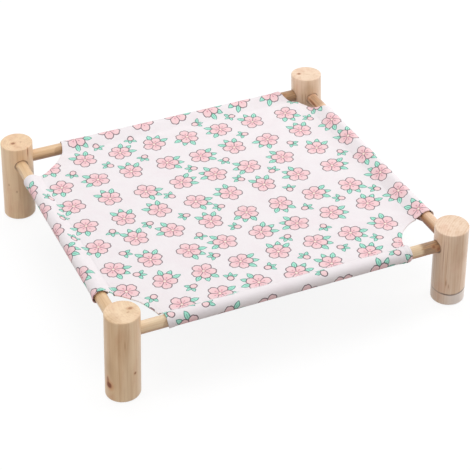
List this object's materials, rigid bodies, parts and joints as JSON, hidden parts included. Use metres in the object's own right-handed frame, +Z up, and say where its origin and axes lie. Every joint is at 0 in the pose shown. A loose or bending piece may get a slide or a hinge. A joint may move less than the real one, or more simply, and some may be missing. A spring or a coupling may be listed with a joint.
{
  "type": "elevated cat bed",
  "caption": "Low raised cat bed: a printed canvas sling held taut by sewn sleeves on dowel rails that plug into round wooden corner posts.",
  "frame": {"origin": "on the floor at the middle of the four posts", "axes": "+X along the front rail from the front left post to the front right post, +Y from the front to the back, +Z up"},
  "size_m": [0.5, 0.477, 0.119],
  "materials": {
    "post_wood": "sanded bare pine with fine straight grain, end grain rings on top",
    "rail_wood": "sanded bare pine dowel, slightly warmer than the posts",
    "canvas": null
  },
  "bodies": {
    "frame": {"post_front_left": "post_wood", "post_front_right": "post_wood", "post_back_right": "post_wood", "post_back_left": "post_wood", "canvas_deck": "canvas", "canvas_sleeve_front": "canvas", "canvas_sleeve_right": "canvas", "canvas_sleeve_back": "canvas", "canvas_sleeve_left": "canvas", "corner_hem_front_left": "canvas", "corner_hem_front_right": "canvas", "corner_hem_back_right": "canvas", "corner_hem_back_left": "canvas"},
    "turning_rail_front": {"rail_front": "rail_wood"},
    "turning_rail_right": {"rail_right": "rail_wood"},
    "turning_rail_back": {"rail_back": "rail_wood"},
    "turning_rail_left": {"rail_left": "rail_wood"}
  },
  "joints": [
    {"name": "rail_front_turn", "type": "hinge", "parent": "frame", "child": "turning_rail_front", "pos_m": [0, -0.216, 0.09], "axis": [1, 0, 0], "continuous": true},
    {"name": "rail_right_turn", "type": "hinge", "parent": "frame", "child": "turning_rail_right", "pos_m": [0.2275, 0, 0.09], "axis": [0, 1, 0], "continuous": true},
    {"name": "rail_back_turn", "type": "hinge", "parent": "frame", "child": "turning_rail_back", "pos_m": [0, 0.216, 0.09], "axis": [1, 0, 0], "continuous": true},
    {"name": "rail_left_turn", "type": "hinge", "parent": "frame", "child": "turning_rail_left", "pos_m": [-0.2275, 0, 0.09], "axis": [0, 1, 0], "continuous": true}
  ]
}
